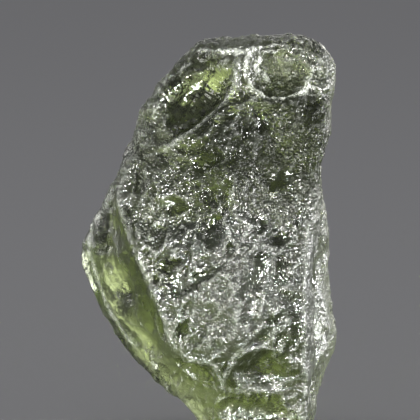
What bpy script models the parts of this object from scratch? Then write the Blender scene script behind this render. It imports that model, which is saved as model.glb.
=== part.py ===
"""A natural piece of moldavite, the green impact glass, as one solid.

The stone stands on the small break at its foot. Its frame is in metres: +X to the right and +Z up in the
front view, and -Y towards the viewer. The origin is at the middle of its box, at foot level.

It is made the way the glass was shaped. A rough block is skinned over the ridges that run up the stone, chips
and etched hollows are scooped out of it, etching softens what is left, and the foot is cut off flat.
"""

import math

import bmesh
import bpy
import numpy as np
from mathutils import Vector

MM = 0.001

# Driving dimensions of the finished stone, in millimetres
STONE_WIDTH = 14.9
STONE_THICKNESS = 9.7
STONE_HEIGHT = 23.0

# The ridges and outlines that run up the stone, each as (x, y, z) points from foot to top, in millimetres on a
# stone of the driving dimensions. They go round the stone once, starting at its left and passing the front.
RIDGES = {
    "left_outline": [
        (-0.4, 0.2, -0.3), (-0.6, 0.2, 0.7), (-1.7, 0.5, 1.7), (-3.2, 1.0, 2.5), (-4.2, 1.6, 3.9),
        (-5.4, 1.9, 5.1), (-6.7, 2.3, 7.8), (-7.2, 2.4, 9.2), (-7.5, 2.4, 10.4), (-6.8, 1.9, 12.1),
        (-5.3, 0.2, 15.0), (-4.5, -0.5, 17.3), (-3.7, -1.0, 19.3), (-2.3, -1.4, 21.1), (-0.8, -0.9, 22.8),
    ],
    "left_ridge": [
        (0.7, -2.6, -0.3), (0.6, -2.8, 1.6), (0.3, -3.3, 3.0), (-2.0, -3.8, 5.1), (-2.9, -4.1, 8.0),
        (-4.6, -3.1, 11.9), (-5.1, -2.4, 13.4), (-5.1, -2.0, 14.5), (-4.1, -1.9, 17.4), (-3.4, -1.9, 19.2),
        (-1.9, -1.8, 21.1), (-0.4, -1.3, 22.6),
    ],
    "front_crest": [
        (3.0, -3.0, -0.3), (2.8, -3.3, 2.1), (2.0, -4.6, 5.3), (1.6, -4.9, 7.1), (1.5, -4.9, 9.4),
        (1.0, -4.0, 16.7), (1.6, -3.2, 20.9), (1.8, -2.6, 22.4),
    ],
    "right_ridge": [
        (5.5, -2.5, -0.3), (5.5, -2.9, 2.3), (5.5, -3.9, 5.6), (5.5, -4.1, 8.1), (6.0, -3.5, 13.5),
        (6.6, -2.7, 18.8), (6.8, -2.0, 21.3), (6.2, -1.9, 22.3), (5.4, -1.8, 23.0),
    ],
    "right_outline": [
        (5.9, 0.5, -0.3), (6.3, 0.9, 2.3), (7.0, 1.5, 4.2), (7.4, 1.8, 5.1), (7.4, 1.9, 6.1), (7.0, 1.8, 7.6),
        (6.7, 1.5, 9.0), (7.0, 1.2, 10.6), (6.5, 0.2, 13.9), (7.0, -0.7, 17.8), (7.1, -0.6, 20.2),
        (7.3, -0.5, 21.3), (6.7, -0.5, 22.4), (6.0, -0.5, 22.9),
    ],
    "back_right_ridge": [
        (5.6, 2.6, -0.3), (6.2, 4.0, 4.5), (5.8, 4.5, 7.5), (6.1, 4.2, 10.4), (5.4, 3.7, 13.8),
        (5.8, 3.0, 17.0), (5.0, 2.5, 20.4), (4.4, 1.8, 23.0),
    ],
    "back_crest": [
        (2.8, 3.0, -0.3), (2.4, 4.2, 3.0), (1.0, 4.8, 6.4), (1.6, 4.8, 9.0), (0.2, 4.6, 12.0),
        (1.4, 4.0, 15.2), (0.6, 3.3, 18.4), (1.8, 2.2, 22.8),
    ],
    "back_left_ridge": [
        (-0.5, 2.6, -0.3), (-1.7, 3.2, 2.6), (-3.1, 3.9, 5.0), (-4.9, 4.0, 8.0), (-4.6, 3.8, 10.4),
        (-4.4, 3.1, 14.0), (-2.5, 2.7, 17.6), (-1.7, 1.9, 20.6), (-0.4, 1.2, 22.8),
    ],
}
LEVELS = 32

# The side that a hollow is seen from, as the direction of sight and the direction that is level across it
SIDES = {
    "front": (Vector((0.0, 1.0, 0.0)), Vector((1.0, 0.0, 0.0))),
    "back": (Vector((0.0, -1.0, 0.0)), Vector((1.0, 0.0, 0.0))),
    "left": (Vector((1.0, 0.0, 0.0)), Vector((0.0, 1.0, 0.0))),
    "right": (Vector((-1.0, 0.0, 0.0)), Vector((0.0, 1.0, 0.0))),
}
# Hollows: the side, the place of the middle as (x or y, z), the length, width and depth, in millimetres, and how
# far the length is turned up from level, in degrees
HOLLOWS = {
    "shoulder_chip": ("front", (-0.5, 19.6), 5.0, 2.8, 0.80, 48),
    "shoulder_notch": ("front", (-0.3, 21.6), 2.0, 1.2, 0.35, 15),
    "top_bowl": ("front", (4.1, 20.8), 3.3, 2.9, 0.85, 0),
    "upper_face": ("front", (3.0, 16.6), 5.2, 4.2, 0.30, 80),
    "middle_face": ("front", (-1.6, 13.2), 4.4, 3.0, 0.28, 30),
    "lower_face": ("front", (2.6, 9.6), 4.0, 3.0, 0.25, -20),
    "face_foot": ("front", (-0.6, 7.0), 3.2, 2.2, 0.25, 60),
    "ankle_left": ("front", (-0.9, 3.7), 3.0, 1.5, 0.35, -35),
    "ankle_front": ("front", (2.9, 3.6), 4.3, 2.3, 0.50, 5),
    "foot_front": ("front", (2.8, 1.5), 4.8, 1.8, 0.40, 3),
    "wing_upper": ("left", (-0.9, 11.4), 4.2, 2.8, 0.40, 80),
    "wing_middle": ("left", (-1.4, 8.4), 3.4, 2.4, 0.35, 60),
    "wing_lower": ("left", (-0.9, 5.2), 3.4, 2.6, 0.40, 40),
    "left_back": ("left", (2.2, 13.8), 4.0, 2.4, 0.35, 70),
    "right_high": ("right", (-0.6, 15.4), 5.0, 2.6, 0.35, 90),
    "right_middle": ("right", (-0.8, 9.6), 3.8, 2.8, 0.40, 75),
    "right_low": ("right", (-1.0, 5.2), 3.4, 2.4, 0.40, 85),
    "right_back": ("right", (3.0, 7.4), 3.6, 2.4, 0.35, 60),
    "back_high": ("back", (1.6, 18.4), 4.6, 3.4, 0.50, 70),
    "back_middle": ("back", (3.2, 12.2), 4.2, 3.2, 0.50, -30),
    "back_centre": ("back", (-0.8, 11.4), 3.4, 2.6, 0.40, 50),
    "back_left": ("back", (-3.4, 8.4), 3.6, 2.8, 0.45, 50),
    "back_low": ("back", (2.6, 4.4), 4.2, 2.8, 0.45, 10),
}

# Etching. Its grain is the voxel that softens the edges, and its waves are the low swells left on the faces.
# Of the faces of that fine skin, this share is kept, most of them where it bends.
GRAIN = 0.30
SOFTENING = 0.5
KEPT_FACES = 0.35
WAVE_LENGTH = 2.2
WAVE_DEPTH = 0.40
# Edges that bend by more than this many degrees stay crisp.
CRISP_ANGLE = 40

GLASS_GREEN = (0.09, 0.14, 0.05, 1.0)
GLASS_ROUGHNESS = 0.35
GLASS_IOR = 1.49


def clear_scene():
    for obj in list(bpy.data.objects):
        bpy.data.objects.remove(obj)


def new_collection(name):
    collection = bpy.data.collections.new(name)
    bpy.context.scene.collection.children.link(collection)
    return collection


def ridge_point(points, fraction):
    """The point on one ridge at this fraction of the way up it."""
    x, y, z = np.array(points).T
    height = z[0] + fraction * (z[-1] - z[0])
    return Vector((np.interp(height, z, x), np.interp(height, z, y), height)) * MM


def rough_block(collection):
    """The block skinned over the ridges, a loft between the stone's unlike cross sections."""
    shell = bmesh.new()
    rings = []
    for level in range(LEVELS):
        fraction = level / (LEVELS - 1)
        rings.append([shell.verts.new(ridge_point(points, fraction)) for points in RIDGES.values()])
    for lower, upper in zip(rings, rings[1:]):
        for side in range(len(lower)):
            following = (side + 1) % len(lower)
            shell.faces.new((lower[side], lower[following], upper[following], upper[side]))
    shell.faces.new(rings[0])
    shell.faces.new(rings[-1])
    bmesh.ops.recalc_face_normals(shell, faces=shell.faces)
    mesh = bpy.data.meshes.new("moldavite")
    shell.to_mesh(mesh)
    shell.free()
    stone = bpy.data.objects.new("moldavite", mesh)
    collection.objects.link(stone)
    return stone


def hollow_place(stone, side, place, spread):
    """Where a line of sight meets the block, and which way the block faces up to this spread around it."""
    sight, level = SIDES[side]
    upright = Vector((0.0, 0.0, 1.0))
    target = (level * place[0] + upright * place[1]) * MM
    start = target - sight * (STONE_HEIGHT * MM)
    middle = stone.ray_cast(start, sight)[1]
    facing = Vector((0.0, 0.0, 0.0))
    for across, up in ((0, 0), (-1, 0), (1, 0), (0, -1), (0, 1)):
        beside = start + (level * across + upright * up) * (spread * MM)
        facing += stone.ray_cast(beside, sight)[2]
    return middle, facing.normalized()


def hollow_cutter(name, stone, hollow, cutters):
    """An egg-shaped cutter whose cap, as wide as the hollow, reaches its depth below the block's surface."""
    side, place, length, width, depth, turn = hollow
    middle, outward = hollow_place(stone, side, place, width / 3)
    level = Vector((0.0, 0.0, 1.0)).cross(outward).normalized()
    upward = outward.cross(level)
    angle = math.radians(turn)
    along = level * math.cos(angle) + upward * math.sin(angle)
    across = outward.cross(along)
    # A cap of this width and depth belongs to a ball of this radius, which is then stretched lengthwise.
    radius = (width * width / 4 + depth * depth) / (2 * depth)
    bpy.ops.mesh.primitive_ico_sphere_add(subdivisions=4, radius=1.0)
    cutter = bpy.context.object
    cutter.name = name + "_cutter"
    reach = (along * (radius * length / width), across * radius, outward * radius)
    for vertex in cutter.data.vertices:
        x, y, z = vertex.co
        vertex.co = (reach[0] * x + reach[1] * y + reach[2] * z) * MM
    cutter.data.update()
    cutter.location = middle + outward * ((radius - depth) * MM)
    cutter.hide_render = True
    cutter.display_type = "WIRE"
    for owner in list(cutter.users_collection):
        owner.objects.unlink(cutter)
    cutters.objects.link(cutter)


def scoop_hollows(stone, cutters):
    bpy.context.view_layer.update()
    for name, hollow in HOLLOWS.items():
        hollow_cutter(name, stone, hollow, cutters)
    scoop = stone.modifiers.new("hollows", "BOOLEAN")
    scoop.operation = "DIFFERENCE"
    scoop.operand_type = "COLLECTION"
    scoop.collection = cutters
    scoop.solver = "EXACT"


def etch(stone):
    """Softened edges and low swells, as ground water leaves them."""
    soften = stone.modifiers.new("softened_edges", "REMESH")
    soften.mode = "VOXEL"
    soften.voxel_size = GRAIN * MM
    smooth = stone.modifiers.new("smoothed", "SMOOTH")
    smooth.factor = SOFTENING
    smooth.iterations = 1
    waves = bpy.data.textures.new("etched_waves", "CLOUDS")
    waves.noise_scale = WAVE_LENGTH * MM
    waves.noise_depth = 1
    swell = stone.modifiers.new("etched_waves", "DISPLACE")
    swell.texture = waves
    swell.texture_coords = "LOCAL"
    swell.strength = WAVE_DEPTH * MM
    swell.mid_level = 0.5
    thin = stone.modifiers.new("kept_faces", "DECIMATE")
    thin.ratio = KEPT_FACES


def settle(stone):
    """The finished mesh, at its driving dimensions, cut off flat at the foot and centred over the origin."""
    graph = bpy.context.evaluated_depsgraph_get()
    mesh = bpy.data.meshes.new_from_object(stone.evaluated_get(graph))
    stone.modifiers.clear()
    stone.data = mesh
    shell = bmesh.new()
    shell.from_mesh(mesh)
    bmesh.ops.bisect_plane(
        shell,
        geom=shell.verts[:] + shell.edges[:] + shell.faces[:],
        plane_co=(0.0, 0.0, 0.0),
        plane_no=(0.0, 0.0, -1.0),
        clear_outer=True,
    )
    rim = [edge for edge in shell.edges if edge.is_boundary]
    bmesh.ops.contextual_create(shell, geom=rim)
    lowest = Vector([min(vertex.co[axis] for vertex in shell.verts) for axis in range(3)])
    highest = Vector([max(vertex.co[axis] for vertex in shell.verts) for axis in range(3)])
    size = highest - lowest
    wanted = Vector((STONE_WIDTH, STONE_THICKNESS, STONE_HEIGHT)) * MM
    middle = Vector(((lowest.x + highest.x) / 2, (lowest.y + highest.y) / 2, lowest.z))
    for vertex in shell.verts:
        offset = vertex.co - middle
        vertex.co = Vector([offset[axis] * wanted[axis] / size[axis] for axis in range(3)])
    bmesh.ops.recalc_face_normals(shell, faces=shell.faces)
    shell.to_mesh(mesh)
    shell.free()
    mesh.shade_smooth()
    mesh.set_sharp_from_angle(angle=math.radians(CRISP_ANGLE))


def green_glass():
    material = bpy.data.materials.new("moldavite_glass")
    material.use_nodes = True
    surface = material.node_tree.nodes["Principled BSDF"]
    surface.inputs["Base Color"].default_value = GLASS_GREEN
    surface.inputs["Metallic"].default_value = 0.0
    surface.inputs["Roughness"].default_value = GLASS_ROUGHNESS
    surface.inputs["IOR"].default_value = GLASS_IOR
    return material


def build():
    clear_scene()
    pieces = new_collection("moldavite")
    cutters = new_collection("cutters")
    stone = rough_block(pieces)
    scoop_hollows(stone, cutters)
    etch(stone)
    settle(stone)
    stone.data.materials.append(green_glass())


build()
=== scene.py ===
import math

import bpy
import numpy as np
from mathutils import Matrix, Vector
from mathutils.bvhtree import BVHTree
from mathutils.kdtree import KDTree


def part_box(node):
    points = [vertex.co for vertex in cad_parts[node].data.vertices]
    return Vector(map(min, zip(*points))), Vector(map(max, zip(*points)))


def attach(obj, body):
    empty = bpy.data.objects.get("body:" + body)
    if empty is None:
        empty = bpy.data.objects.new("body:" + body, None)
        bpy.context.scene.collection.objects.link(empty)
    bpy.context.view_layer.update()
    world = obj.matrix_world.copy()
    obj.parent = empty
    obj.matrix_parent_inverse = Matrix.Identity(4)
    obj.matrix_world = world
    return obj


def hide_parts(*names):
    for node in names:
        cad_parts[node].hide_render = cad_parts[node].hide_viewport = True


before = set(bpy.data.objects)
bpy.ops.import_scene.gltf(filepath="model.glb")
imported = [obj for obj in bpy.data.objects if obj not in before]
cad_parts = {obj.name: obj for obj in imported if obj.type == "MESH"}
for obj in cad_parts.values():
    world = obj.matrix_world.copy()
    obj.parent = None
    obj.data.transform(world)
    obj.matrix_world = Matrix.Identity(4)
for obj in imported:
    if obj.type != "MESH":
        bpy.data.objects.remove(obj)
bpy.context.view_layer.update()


# The camera
# It stands 260 mm in front of the stone and 6 degrees above its middle. It takes in 24.15 mm there, from
# side to side, as a macro lens does.
MM = 0.001
LOOKED_AT = Vector((0.06, 0.0, 12.84)) * MM
CAMERA_DISTANCE = 260 * MM
CAMERA_RISE = math.radians(6)
WIDTH_IN_VIEW = 24.15 * MM
SENSOR_WIDTH = 36

bpy.ops.object.select_all(action="DESELECT")
camera_data = bpy.data.cameras.new("macro_camera")
camera = bpy.data.objects.new("macro_camera", camera_data)
bpy.context.scene.collection.objects.link(camera)
camera.location = LOOKED_AT + Vector((0, -math.cos(CAMERA_RISE), math.sin(CAMERA_RISE))) * CAMERA_DISTANCE
camera.rotation_euler = (LOOKED_AT - camera.location).to_track_quat("-Z", "Y").to_euler()
camera_data.sensor_width = SENSOR_WIDTH
camera_data.lens = SENSOR_WIDTH * CAMERA_DISTANCE / WIDTH_IN_VIEW
camera_data.clip_start = 0.001
camera_data.clip_end = 10
camera_data.dof.use_dof = False
bpy.context.scene.camera = camera


# The stone
# One piece of natural impact glass, clear olive green inside. Ground water has etched its whole skin into
# scalloped cups with sharp rims, finely crinkled in between, and chips have left smooth glassy hollows.
SKIN_GRAIN = 0.108 * MM
SAME_PLACE = 0.002 * MM

cad_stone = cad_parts["moldavite"]
stone = bpy.data.objects.new("moldavite_skin", cad_stone.data.copy())
bpy.context.scene.collection.objects.link(stone)
bpy.context.view_layer.objects.active = stone
stone.select_set(True)
bpy.ops.object.mode_set(mode="EDIT")
bpy.ops.mesh.select_all(action="SELECT")
bpy.ops.mesh.remove_doubles(threshold=SAME_PLACE)
bpy.ops.object.mode_set(mode="OBJECT")

fine = stone.modifiers.new("fine skin", "REMESH")
fine.mode = "VOXEL"
fine.voxel_size = SKIN_GRAIN
fine.use_smooth_shade = True
bpy.ops.object.modifier_apply(modifier=fine.name)


def even_out(name, strength, rounds):
    even = stone.modifiers.new(name, "SMOOTH")
    even.factor = strength
    even.iterations = rounds
    bpy.ops.object.modifier_apply(modifier=even.name)


def read_points(mesh):
    """A mesh's points, in millimetres, and the way that the skin faces at each of them."""
    places = np.empty(len(mesh.vertices) * 3, np.float32)
    mesh.vertices.foreach_get("co", places)
    facing = np.empty(len(mesh.vertices) * 3, np.float32)
    mesh.vertex_normals.foreach_get("vector", facing)
    return places.reshape(-1, 3).astype(float) / MM, facing.reshape(-1, 3).astype(float)


def move_points(mesh, places):
    mesh.vertices.foreach_set("co", (places * MM).astype(np.float32).ravel())
    mesh.update()


even_out("evened facets", strength=0.5, rounds=14)
points, normals = read_points(stone.data)
tree = KDTree(len(points))
for index, point in enumerate(points):
    tree.insert(point, index)
tree.balance()
corners = [Vector(point) for point in points]
surface = BVHTree.FromPolygons(corners, [face.vertices for face in stone.data.polygons])

# The way of a level line of sight from each side, and the way that places across are counted
SIGHTS = {
    "front": (Vector((0, 1, 0)), Vector((1, 0, 0))),
    "back": (Vector((0, -1, 0)), Vector((1, 0, 0))),
    "right": (Vector((-1, 0, 0)), Vector((0, 1, 0))),
}
WELL_OUTSIDE = 30


def vertices_near(middle, reach):
    return np.array([found[1] for found in tree.find_range(middle, reach)])


def skin_at(side, across, height):
    """Where a level line of sight from this side meets the skin, in millimetres."""
    sight, level = SIGHTS[side]
    eye = level * across + Vector((0, 0, height)) - sight * WELL_OUTSIDE
    return np.array(surface.ray_cast(eye, sight)[0])


def ramp(values, start, end):
    """0 up to the start, 1 past the end and even in between; the end may be the lower of the two."""
    return np.clip((values - start) / (end - start), 0, 1)


# What is kept for each point of the skin, from 0 to about 1: how polished, and how frosted it is, with a
# painted highlight at the top edge kept as frost too
polished = np.zeros(len(points))
frost_and_painted_highlight = np.zeros(len(points))

# A cup's outline is an oval with a few uneven lobes: their number, their size as a share of the oval's, and
# how they shift with the cup's turn. It reaches a little past the oval, and only over skin that faces as it
# does.
CUP_LOBES = [(2, 0.16, 9), (3, 0.12, 20)]
CUP_REACH = 1.4
FACING_ALIKE = 0.3
POLISH_STEEPNESS = 2.2
NEARLY_LEVEL = 0.1


def press_cup(sunk, middle, outward, turn, length, width, depth, polish):
    """Sinks a cup of this size, in millimetres, where the skin lies under its uneven oval. Cups that
    overlap meet in a sharp rim, because the deeper of them wins."""
    level = np.cross((0.0, 0.0, 1.0), outward)
    if np.linalg.norm(level) < NEARLY_LEVEL:
        level = np.array((1.0, 0.0, 0.0))
    level /= np.linalg.norm(level)
    upward = np.cross(outward, level)
    along = level * math.cos(turn) + upward * math.sin(turn)
    across = np.cross(outward, along)
    near = vertices_near(middle, max(length, width) / 2 * CUP_REACH)
    offset = points[near] - middle
    ahead, aside = offset @ along / (length / 2), offset @ across / (width / 2)
    bearing = np.arctan2(aside, ahead)
    uneven = 1 + sum(size * np.sin(lobes * bearing + shift * turn) for lobes, size, shift in CUP_LOBES)
    spread = (ahead ** 2 + aside ** 2) * uneven ** 2
    under = (spread < 1) & (normals[near] @ outward > FACING_ALIKE)
    near, spread = near[under], spread[under]
    sunk[near] = np.minimum(sunk[near], -depth * (1 - spread))
    shine = polish * np.clip(POLISH_STEEPNESS * (1 - spread), 0, 1)
    polished[near] = np.maximum(polished[near], shine)


def seat_of_cup(side, across, up, evened_over):
    """The middle of a cup that is seen from this side, and the way that the skin faces round it."""
    middle = skin_at(side, across, up)
    outward = normals[vertices_near(middle, evened_over)].mean(axis=0)
    return middle, outward / np.linalg.norm(outward)


# Ridges between the broad faces, as the front view shows them: their height and half width in millimetres,
# how frosted they are, and the points that they follow, across and up
RIDGE_LINES = {
    "left_edge": (0.13, 0.45, 0.20, [
        (-4.8, 15.2), (-5.1, 14.4), (-5.1, 13.3), (-4.6, 11.9), (-3.75, 9.9), (-2.95, 8.0), (-2.2, 5.9),
        (-2.0, 5.3),
    ]),
    "scar_edge": (0.14, 0.42, 0.30, [
        (1.6, 22.0), (1.6, 21.4), (1.5, 20.3), (1.0, 19.5), (0.4, 18.95), (-0.35, 18.3), (-1.1, 17.7),
        (-1.8, 17.1), (-2.5, 16.6),
    ]),
    "bowl_edge": (0.10, 0.24, 0.60, [
        (2.3, 22.2), (2.1, 21.7), (2.1, 20.9), (2.5, 20.1), (3.35, 19.7), (4.15, 19.6), (5.0, 19.8),
        (5.6, 20.4), (5.9, 21.1),
    ]),
    "top_edge": (0.10, 0.24, 0.60, [
        (-0.6, 22.2), (0.7, 22.2), (1.8, 22.25), (2.4, 22.25), (3.0, 22.5), (4.0, 22.7), (5.0, 22.9),
    ]),
    "left_ankle_edge": (0.11, 0.35, 0.18, [
        (-2.0, 5.4), (-1.0, 4.7), (0.1, 4.5), (0.6, 3.8), (0.85, 2.9),
    ]),
    "front_ankle_edge": (0.10, 0.30, 0.20, [
        (0.7, 3.0), (0.8, 3.6), (1.2, 4.2), (1.3, 4.7), (1.7, 5.2), (2.3, 5.3), (2.9, 5.4), (3.6, 5.9),
    ]),
    "foot_edge": (0.05, 0.30, 0.12, [
        (0.7, 3.0), (1.7, 2.7), (2.4, 2.95), (3.2, 3.0), (4.1, 3.15), (5.2, 3.5),
    ]),
    "right_edge": (0.11, 0.35, 0.20, [
        (5.6, 12.4), (5.55, 11.0), (5.45, 8.7), (5.4, 7.0), (5.45, 5.2), (5.5, 3.75), (5.5, 2.5),
    ]),
    "wing_edge": (0.05, 0.40, 0.35, [
        (-5.8, 13.6), (-6.4, 12.6), (-6.9, 11.5), (-6.95, 10.3), (-6.65, 9.15), (-6.2, 7.9), (-5.6, 6.6),
        (-5.1, 5.8), (-4.3, 4.9),
    ]),
}
# Their frost is full near the crest and gone at two thirds of the half width.
RIDGE_REACH = 1.5
FROST_CREST = 1 / 9
FROST_SPREAD = 2 / 3
ridged = np.zeros(len(points))
for height, half_width, whiteness, places in RIDGE_LINES.values():
    line = [skin_at("front", across, up) for across, up in places]
    for start, end in zip(line, line[1:]):
        way = end - start
        near = vertices_near((start + end) / 2, np.linalg.norm(way) / 2 + half_width * RIDGE_REACH)
        share = np.clip((points[near] - start) @ way / (way @ way), 0, 1)
        gap = np.linalg.norm(points[near] - start - share[:, None] * way, axis=1) / half_width
        ridged[near] = np.maximum(ridged[near], height * ramp(gap, 1, 0))
        frost_and_painted_highlight[near] = np.maximum(frost_and_painted_highlight[near], whiteness * ramp(gap, FROST_SPREAD, FROST_CREST))

# White patches in the front view: across and up, the radius in millimetres and how frosted they are. The
# first three, along the top edge, are a painted highlight where a facet there reflects the light; the
# others are crushed places.
WHITE_PATCHES_AND_PAINTED_HIGHLIGHT = [
    # Painted highlight: these three white patches stand for the light's reflection on a facet at the top
    # edge.
    (0.9, 22.2, 0.40, 1.0),
    (1.5, 22.2, 0.42, 1.0),
    (2.1, 22.2, 0.36, 1.0),
    (5.5, 20.15, 0.50, 1.1),
    (5.15, 19.95, 0.36, 1.0),
    (2.9, 21.3, 0.40, 0.8),
    (3.3, 20.8, 0.28, 0.7),
    (3.9, 22.0, 0.20, 0.6),
    (6.45, 21.5, 0.50, 0.2),
    (6.4, 11.4, 0.75, 0.8),
    (6.3, 7.0, 0.90, 0.9),
    (6.45, 5.9, 0.45, 0.9),
    (6.4, 4.1, 0.35, 0.6),
    (6.1, 2.1, 0.45, 0.5),
    (-6.4, 12.3, 0.16, 0.9),
    (-5.8, 12.7, 0.14, 0.7),
    (-5.8, 9.2, 0.14, 0.7),
    (-3.9, 6.4, 0.20, 0.9),
    (-3.2, 3.8, 0.35, 0.9),
    (-5.5, 14.0, 0.20, 0.7),
]
# They are taller than wide, and two crossing waves through the stone make their outlines wander.
PATCH_REACH = 1.6
PATCH_STRETCH = (1.0, 1.0, 0.7)
PATCH_EDGE = 0.85
PATCH_CORE = 0.35
PATCH_WANDER = 0.45
WANDER_WAVES = ((6.1, 3.7, 4.3), (-3.3, 5.1, 5.9))
for across, up, radius, whiteness in WHITE_PATCHES_AND_PAINTED_HIGHLIGHT:
    middle = skin_at("front", across, up)
    near = vertices_near(middle, radius * PATCH_REACH)
    gap = np.linalg.norm((points[near] - middle) * PATCH_STRETCH, axis=1) / radius
    first_wave, second_wave = (np.sin(points[near] @ wave) for wave in WANDER_WAVES)
    gap += PATCH_WANDER * first_wave * second_wave
    frost_and_painted_highlight[near] = np.maximum(frost_and_painted_highlight[near], whiteness * ramp(gap, PATCH_EDGE, PATCH_CORE))

# Broad hollows, cut again so that their rims are crisp: the side, the place, length, width and depth in
# millimetres, the turn of the length up from level in degrees, and how smooth the hollow is, from 0 to 1
HOLLOWS = [
    ("front", (-0.7, 19.7), 5.0, 2.9, 0.28, 50, 1.0),
    ("front", (-0.4, 21.5), 2.0, 1.2, 0.14, 15, 0.8),
    ("front", (4.1, 21.0), 3.5, 2.8, 0.22, 0, 0.0),
    ("front", (3.0, 4.2), 4.4, 2.2, 0.26, 5, 0.4),
    ("front", (-0.8, 4.0), 3.0, 1.5, 0.26, -32, 0.5),
    ("front", (2.7, 1.7), 4.8, 2.2, 0.26, 3, 0.4),
    ("front", (-5.2, 8.9), 5.6, 2.4, 0.30, 120, 0.0),
    ("front", (-5.9, 12.6), 3.6, 1.5, 0.25, 70, 0.0),
    ("front", (-3.6, 5.3), 3.6, 1.8, 0.30, 135, 0.0),
    ("right", (-1.2, 10.4), 5.0, 3.2, 0.30, 85, 0.3),
    ("right", (-1.3, 6.2), 3.6, 2.8, 0.30, 90, 0.3),
    ("right", (-0.8, 2.8), 3.6, 2.4, 0.30, 90, 0.3),
    ("right", (-1.0, 15.4), 5.2, 2.8, 0.28, 90, 0.3),
    ("back", (1.6, 18.4), 4.6, 3.4, 0.26, 70, 0.6),
    ("back", (3.2, 12.2), 4.2, 3.2, 0.26, -30, 0.4),
    ("back", (-0.8, 11.4), 3.4, 2.6, 0.24, 50, 0.4),
    ("back", (-3.4, 8.4), 3.6, 2.8, 0.26, 50, 0.5),
    ("back", (2.6, 4.4), 4.2, 2.8, 0.26, 10, 0.5),
]
broad = np.zeros(len(points))
for side, (across, up), length, width, depth, turn, polish in HOLLOWS:
    middle, outward = seat_of_cup(side, across, up, width / 3)
    press_cup(broad, middle, outward, math.radians(turn), length, width, depth, polish)

# The skin's reflection is darkened on the upper face, on the top and in the chipped bowl below its right
# end:
# painted shade, where these faces catch less of the front light.
# Places are in millimetres here, and the way that the skin faces runs from -1 to 1 along each axis.
BOWL_MIDDLE = (4.1, 21.0)
BOWL_FLOOR_RADIUS = 1.2
BOWL_RIM_RADIUS = 2.2
TOP_PAINTED_SHADE = 0.85
BOWL_PAINTED_SHADE = 0.6
rightwards, upwards = points[:, 0], points[:, 2]
facing_right, facing_back, facing_up = normals.T
upper_face = ramp(upwards, 12.6, 15.6) * ramp(upwards, 20.0, 19.2) * ramp(rightwards, -3.0, -1.0)
upper_face *= ramp(np.maximum(-facing_back, facing_right), 0.2, 0.5)
from_bowl = np.linalg.norm(points - skin_at("front", *BOWL_MIDDLE), axis=1)
bowl = ramp(from_bowl, BOWL_RIM_RADIUS, BOWL_FLOOR_RADIUS)
# Painted shade: the reflection of the upper face is darkened, but not in its polished cups, and so is that
# of the top and the bowl.
dull_and_painted_shade = upper_face * (1 - polished)
dull_and_painted_shade = np.maximum(dull_and_painted_shade, TOP_PAINTED_SHADE * ramp(facing_up, 0.6, 0.8))
dull_and_painted_shade = np.maximum(dull_and_painted_shade, BOWL_PAINTED_SHADE * bowl)

# Cups that the front view shows one by one: across and up, length, width and depth in millimetres, the turn
# in degrees and the polish from 0 to 1
FRONT_CUPS = [
    (-0.6, 20.6, 2.0, 1.2, 0.12, 50, 1.0),
    (-1.3, 19.4, 1.7, 1.3, 0.16, 70, 1.0),
    (-1.7, 18.0, 2.0, 1.2, 0.12, 50, 0.8),
    (0.3, 12.6, 1.05, 0.8, 0.22, 80, 0.85),
    (-1.9, 13.4, 1.5, 1.3, 0.14, 40, 0.75),
    (-2.2, 10.1, 1.8, 0.9, 0.16, 10, 0.75),
    (-0.3, 9.6, 2.2, 0.8, 0.18, 35, 0.75),
    (-1.5, 6.4, 1.2, 0.8, 0.22, 70, 0.9),
    (-3.0, 9.3, 0.45, 0.35, 0.20, 60, 0.9),
    (3.1, 12.4, 1.0, 0.9, 0.14, 60, 0.7),
    (4.1, 11.6, 1.5, 0.7, 0.14, 10, 0.7),
    (4.2, 9.7, 1.6, 1.2, 0.10, 60, 0.40),
    (2.4, 8.7, 2.1, 1.2, 0.11, 50, 0.45),
    (3.7, 7.0, 0.9, 0.65, 0.14, 30, 0.7),
    (6.05, 9.0, 2.0, 0.9, 0.18, 88, 0.85),
    (6.2, 4.6, 1.2, 0.8, 0.14, 20, 0.8),
    (3.1, 18.1, 1.2, 1.0, 0.15, 60, 0.7),
    (4.2, 14.9, 1.7, 1.1, 0.15, 20, 0.7),
    (-0.2, 16.0, 2.0, 1.2, 0.16, 15, 0.7),
    (-3.9, 14.7, 1.4, 1.1, 0.14, 60, 0.7),
    (0.9, 14.4, 1.3, 0.9, 0.14, 70, 0.6),
    (1.2, 11.0, 1.1, 0.7, 0.14, 60, 0.6),
]
placed = np.zeros(len(points))
for across, up, length, width, depth, turn, polish in FRONT_CUPS:
    middle, outward = seat_of_cup("front", across, up, width / 2)
    press_cup(placed, middle, outward, math.radians(turn), length, width, depth, polish)

# The other cups and pits lie where chance puts them. Most lean about 60 degrees up from level, and they are
# wider, narrower, deeper or shallower than usual within these shares.
SEED = 11
USUAL_LEAN = 60
LEAN_SPREAD = 28
WIDTH_SHARES = (0.8, 1.25)
DEPTH_SHARES = (0.5, 1.2)
POLISHES = (0.2, 0.6)
chance = np.random.default_rng(SEED)


def sow_cups(sunk, ground, count, least, greatest, slimness, deepness, smooth_share):
    """Presses this many cups on this ground: their least and greatest length in millimetres, their width
    and depth as shares of the length, and how many in a hundred are smooth."""
    for index in chance.choice(ground, count):
        length = chance.uniform(least, greatest)
        width = length * slimness * chance.uniform(*WIDTH_SHARES)
        depth = length * deepness * chance.uniform(*DEPTH_SHARES)
        turn = math.radians(chance.normal(USUAL_LEAN, LEAN_SPREAD))
        polish = chance.uniform(*POLISHES) if chance.uniform(0, 100) < smooth_share else 0.0
        press_cup(sunk, points[index], normals[index], turn, length, width, depth, polish)


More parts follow.
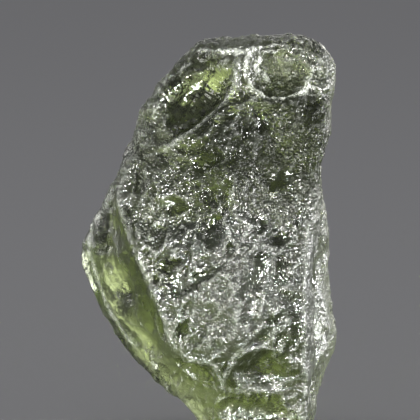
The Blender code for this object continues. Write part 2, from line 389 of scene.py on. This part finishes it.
cupped = np.zeros(len(points))
pitted = np.zeros(len(points))
everywhere = np.arange(len(points))
INSIDE_BOWL = 0.3
in_bowl = np.nonzero(bowl > INSIDE_BOWL)[0]
sow_cups(cupped, everywhere, 110, least=0.9, greatest=1.9, slimness=0.65, deepness=0.12, smooth_share=100)
sow_cups(cupped, everywhere, 1500, least=0.60, greatest=1.5, slimness=0.66, deepness=0.14, smooth_share=4)
sow_cups(pitted, everywhere, 5200, least=0.28, greatest=0.50, slimness=0.75, deepness=0.13, smooth_share=0)
sow_cups(pitted, in_bowl, 320, least=0.28, greatest=0.55, slimness=0.80, deepness=0.28, smooth_share=0)

# Below its shoulder the left wing is worn to a duller satin skin, and the right edge in part. Wear takes
# most of the cups and nearly all the pits away, and a polish does so too.
WING_DULLNESS = 0.6
RIGHT_EDGE_WEAR = 0.45
RIGHT_EDGE_FROST = 0.10
SATIN = 0.72
CUPS_WORN_OFF = 0.75
PITS_WORN_OFF = 0.9
below_shoulder = ramp(upwards, 13.6, 12.4)
worn = ramp(facing_right, -0.25, -0.5) * ramp(rightwards, -2.6, -3.4)
right_edge = ramp(facing_right, 0.35, 0.55) * ramp(rightwards, 5.4, 5.8)
dull_and_painted_shade = np.maximum(dull_and_painted_shade, WING_DULLNESS * worn * below_shoulder)
worn = np.maximum(worn, RIGHT_EDGE_WEAR * right_edge) * below_shoulder
frost_and_painted_highlight = np.maximum(frost_and_painted_highlight, RIGHT_EDGE_FROST * right_edge * ramp(upwards, 14.6, 12.6))
smooth = np.maximum(polished, SATIN * worn)
sunk = broad + ridged + placed
sunk += cupped * (1 - CUPS_WORN_OFF * smooth) + pitted * (1 - PITS_WORN_OFF * smooth)

# The foot stays flat, and the relief rises to its full depth above it.
FULL_RELIEF_AT = 0.5
standing = ramp(upwards, 0, FULL_RELIEF_AT)
points += normals * (sunk * standing)[:, None]
move_points(stone.data, points)
even_out("softened rims", strength=0.35, rounds=1)

# A fine crinkle goes over the whole skin.
crinkle = bpy.data.textures.new("crinkles", "CLOUDS")
crinkle.noise_scale = 0.32 * MM
crinkle.noise_depth = 1
rough = stone.modifiers.new("crinkled skin", "DISPLACE")
rough.texture = crinkle
rough.texture_coords = "LOCAL"
rough.strength = 0.05 * MM
rough.mid_level = 0.6
bpy.ops.object.modifier_apply(modifier=rough.name)

# The skin is held inside the solid's box and level at the foot.
points, normals = read_points(stone.data)
low, high = (np.array(corner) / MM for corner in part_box("moldavite"))
points = np.clip(points, low, high)
move_points(stone.data, points)

# Rims are frosted where they stand above the skin around them, and less so on the dull wing and where shade
# is painted on the reflection.
RIM_ROUNDS = 5
RIM_FROST = 0.26
FROST_LOST_TO_DULL_AND_SHADE = 0.6
edges = np.empty(len(stone.data.edges) * 2, np.int32)
stone.data.edges.foreach_get("vertices", edges)
edges = edges.reshape(-1, 2)
ends = np.concatenate((edges[:, 0], edges[:, 1]))
others = np.concatenate((edges[:, 1], edges[:, 0]))
neighbours = np.maximum(np.bincount(ends, minlength=len(points)), 1)


def neighbour_mean(values):
    return np.bincount(ends, values[others], minlength=len(values)) / neighbours


around = points.copy()
for _ in range(RIM_ROUNDS):
    around = np.column_stack([neighbour_mean(around[:, axis]) for axis in range(3)])
rise = ((points - around) * normals).sum(axis=1)
rim_frost = RIM_FROST * (1 - FROST_LOST_TO_DULL_AND_SHADE * dull_and_painted_shade) * ramp(rise, 0.010, 0.045)
frost_and_painted_highlight = np.maximum(frost_and_painted_highlight, rim_frost)

for name, values in (("polished", polished), ("smooth", smooth), ("frost_and_painted_highlight", frost_and_painted_highlight), ("dull_and_painted_shade", dull_and_painted_shade)):
    layer = stone.data.attributes.new(name, "FLOAT", "POINT")
    layer.data.foreach_set("value", values.astype(np.float32))

# The glass is clear and green all through, and what the skin's points keep sets its finish.
glass = bpy.data.materials.new("moldavite_glass_etched")
glass.use_nodes = True
nodes, links = glass.node_tree.nodes, glass.node_tree.links
nodes.clear()
output = nodes.new("ShaderNodeOutputMaterial")
shader = nodes.new("ShaderNodeBsdfPrincipled")
shader.inputs["Base Color"].default_value = (0.90, 0.95, 0.86, 1)
shader.inputs["IOR"].default_value = 1.49
links.new(shader.outputs["BSDF"], output.inputs["Surface"])
green = nodes.new("ShaderNodeVolumeAbsorption")
green.inputs["Color"].default_value = (0.535, 0.575, 0.34, 1)
green.inputs["Density"].default_value = 720
links.new(green.outputs["Volume"], output.inputs["Volume"])
on_stone = nodes.new("ShaderNodeTexCoord").outputs["Object"]


def kept(name):
    """What the skin's points keep under this name."""
    reading = nodes.new("ShaderNodeAttribute")
    reading.attribute_name = name
    return reading.outputs["Fac"]


def graded(amount, at_start, at_end, start=0, end=1):
    """Turns an amount from start to end into a value from at_start to at_end, and holds it past either."""
    grade = nodes.new("ShaderNodeMapRange")
    grade.inputs["From Min"].default_value = start
    grade.inputs["From Max"].default_value = end
    grade.inputs["To Min"].default_value = at_start
    grade.inputs["To Max"].default_value = at_end
    links.new(amount, grade.inputs["Value"])
    return grade.outputs["Result"]


def multiplied(first, second):
    product = nodes.new("ShaderNodeMath")
    product.operation = "MULTIPLY"
    links.new(first, product.inputs[0])
    links.new(second, product.inputs[1])
    return product.outputs["Value"]


def noise(scale, detail):
    clouds = nodes.new("ShaderNodeTexNoise")
    clouds.inputs["Scale"].default_value = scale
    clouds.inputs["Detail"].default_value = detail
    links.new(on_stone, clouds.inputs["Vector"])
    return clouds


def relief(height, distance, strength=None, beneath=None):
    """Raises the skin by this height, a pattern, times this distance, on top of the relief beneath."""
    bump = nodes.new("ShaderNodeBump")
    bump.inputs["Distance"].default_value = distance
    links.new(height, bump.inputs["Height"])
    if strength is not None:
        links.new(strength, bump.inputs["Strength"])
    if beneath is not None:
        links.new(beneath, bump.inputs["Normal"])
    return bump.outputs["Normal"]


# Etching roughens the skin where it isn't polished.
ETCHED_ROUGHNESS = 0.28
POLISHED_ROUGHNESS = 0.06
links.new(graded(kept("polished"), ETCHED_ROUGHNESS, POLISHED_ROUGHNESS), shader.inputs["Roughness"])

# A pebbly crinkle glints. It is steeper in some patches than in others, and smooth skin has little of it.
PATCH_SCALE = 620
PEBBLE_SCALE = 4800
PEBBLE_HEIGHT = 0.065 * MM
SMOOTH_RELIEF = 0.10
steepness = graded(noise(PATCH_SCALE, 1).outputs["Fac"], 0.6, 1.3, start=0.38, end=0.62)
unworn = graded(kept("smooth"), 1.0, SMOOTH_RELIEF)
pebble_noise = noise(PEBBLE_SCALE, 2)
pebble_noise.inputs["Roughness"].default_value = 0.55
pebbles = pebble_noise.outputs["Fac"]
pebble_relief = relief(multiplied(pebbles, multiplied(steepness, unworn)), PEBBLE_HEIGHT)

# Rims and crushed places are milky, and so is the painted highlight along the top edge, in broken flecks.
CLEAR_TRANSMISSION = 0.998
MILKY_TRANSMISSION = 0.66
flecks = graded(pebbles, 0.25, 1.2, start=0.40, end=0.58)
clearness = graded(multiplied(kept("frost_and_painted_highlight"), flecks), CLEAR_TRANSMISSION, MILKY_TRANSMISSION)
links.new(clearness, shader.inputs["Transmission Weight"])

# Reflection is darkened on the dull wing, and as painted shade on the upper face, the top and the bowl; a
# few bright specks keep their full gloss.
LOWEST_GLOSS = 0.10
all_but_specks = graded(pebbles, 1.0, 0.0, start=0.53, end=0.60)
gloss = graded(multiplied(kept("dull_and_painted_shade"), all_but_specks), 1.0, LOWEST_GLOSS)
links.new(gloss, shader.inputs["Specular Tint"])

# Finer grains lie on the pebbles.
GRAIN_SCALE = 6500
GRAIN_HEIGHT = 0.06 * MM
grains = nodes.new("ShaderNodeTexVoronoi")
grains.inputs["Scale"].default_value = GRAIN_SCALE
links.new(on_stone, grains.inputs["Vector"])
grain_relief = relief(grains.outputs["Distance"], GRAIN_HEIGHT, unworn, pebble_relief)

# Shell-like ripples cross the smooth hollows, round the place where the top was struck.
STRUCK_AT = (1.6 * MM, -2.4 * MM, 22.4 * MM)
RIPPLE_LENGTH = 0.32 * MM
RIPPLE_HEIGHT = 0.006 * MM
from_blow = nodes.new("ShaderNodeVectorMath")
from_blow.operation = "DISTANCE"
from_blow.inputs[1].default_value = STRUCK_AT
links.new(on_stone, from_blow.inputs[0])
ring_phase = nodes.new("ShaderNodeMath")
ring_phase.operation = "MULTIPLY"
ring_phase.inputs[1].default_value = 2 * math.pi / RIPPLE_LENGTH
links.new(from_blow.outputs["Value"], ring_phase.inputs[0])
rings = nodes.new("ShaderNodeMath")
rings.operation = "SINE"
links.new(ring_phase.outputs["Value"], rings.inputs[0])
skin_relief = relief(rings.outputs["Value"], RIPPLE_HEIGHT, kept("polished"), grain_relief)
links.new(skin_relief, shader.inputs["Normal"])

stone.data.materials.clear()
stone.data.materials.append(glass)
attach(stone, "root")
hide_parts("moldavite")


# The floor
# A plain matt grey studio floor, level with the stone's foot but for a hair's gap.
FLOOR_SIDE = 6
FLOOR_GAP = 0.05 * MM
bpy.ops.object.select_all(action="DESELECT")
bpy.ops.mesh.primitive_plane_add(size=FLOOR_SIDE, location=(0, 0, -FLOOR_GAP))
floor = bpy.context.object
floor.name = "floor"
bpy.ops.object.transform_apply(location=True, rotation=True, scale=True)
matt = bpy.data.materials.new("matt_floor")
matt.use_nodes = True
paint = matt.node_tree.nodes["Principled BSDF"]
paint.inputs["Base Color"].default_value = (0.50, 0.50, 0.51, 1)
paint.inputs["Roughness"].default_value = 1.0
paint.inputs["Specular IOR Level"].default_value = 0.0
floor.data.materials.append(matt)


# The lights
# A small low softbox close in front makes the skin glint. Wide soft ones behind glow through the glass, and
# others brighten its sides and its top. A wide dim sun, an overhead lamp and an even sky light the floor.
lit_by_softboxes = bpy.data.collections.new("lit_by_softboxes")
lit_by_softboxes.objects.link(stone)

# Azimuth (0 is the front) and rise in degrees, as seen from the stone, then distance, width and height in
# millimetres, radiance and colour
SOFTBOXES = {
    "front_softbox": (-2, -7, 60, 21, 9, 300, (1.0, 0.99, 0.97)),
    "left_back_softbox": (-112, 10, 400, 240, 200, 6, (1.0, 1.0, 0.96)),
    "back_softbox": (182, 12, 400, 300, 160, 0.6, (1.0, 1.0, 0.94)),
    "right_back_softbox": (150, 12, 400, 340, 180, 2.7, (1.0, 1.0, 0.90)),
    "left_softbox": (-60, 6, 400, 200, 120, 7, (1.0, 1.0, 0.98)),
    "right_softbox": (88, 2, 400, 240, 180, 52, (1.0, 1.0, 1.0)),
    "top_softbox": (150, 72, 400, 240, 240, 4, (1.0, 1.0, 1.0)),
}
for name, (azimuth, rise, distance, width, height, radiance, colour) in SOFTBOXES.items():
    turn, up = math.radians(azimuth), math.radians(rise)
    away = Vector((math.sin(turn) * math.cos(up), -math.cos(turn) * math.cos(up), math.sin(up)))
    data = bpy.data.lights.new(name, "AREA")
    data.shape = "RECTANGLE"
    data.size, data.size_y = width * MM, height * MM
    data.energy = radiance * math.pi * data.size * data.size_y
    data.color = colour
    lamp = bpy.data.objects.new(name, data)
    bpy.context.scene.collection.objects.link(lamp)
    lamp.location = LOOKED_AT + away * (distance * MM)
    lamp.rotation_euler = (-away).to_track_quat("-Z", "Y").to_euler()
    lamp.visible_camera = False
    lamp.light_linking.receiver_collection = lit_by_softboxes

room = bpy.data.lights.new("room_light", "SUN")
room.angle = math.radians(80)
room.energy = 0.48
room_light = bpy.data.objects.new("room_light", room)
bpy.context.scene.collection.objects.link(room_light)
room_light.rotation_euler = (math.radians(-25), math.radians(-20), 0)

OVERHEAD_SIDE = 200 * MM
OVERHEAD_RADIANCE = 0.6
overhead = bpy.data.lights.new("overhead_light", "AREA")
overhead.size = OVERHEAD_SIDE
overhead.energy = OVERHEAD_RADIANCE * math.pi * OVERHEAD_SIDE ** 2
overhead_light = bpy.data.objects.new("overhead_light", overhead)
bpy.context.scene.collection.objects.link(overhead_light)
overhead_light.location = Vector((-80, 0, 300)) * MM
overhead_light.visible_camera = False

world = bpy.data.worlds.new("dim_sky")
bpy.context.scene.world = world
world.use_nodes = True
sky = world.node_tree.nodes["Background"]
sky.inputs["Color"].default_value = (0.142, 0.142, 0.150, 1)
sky.inputs["Strength"].default_value = 1.0

bpy.context.scene.view_settings.view_transform = "Standard"
bpy.context.scene.view_settings.look = "None"
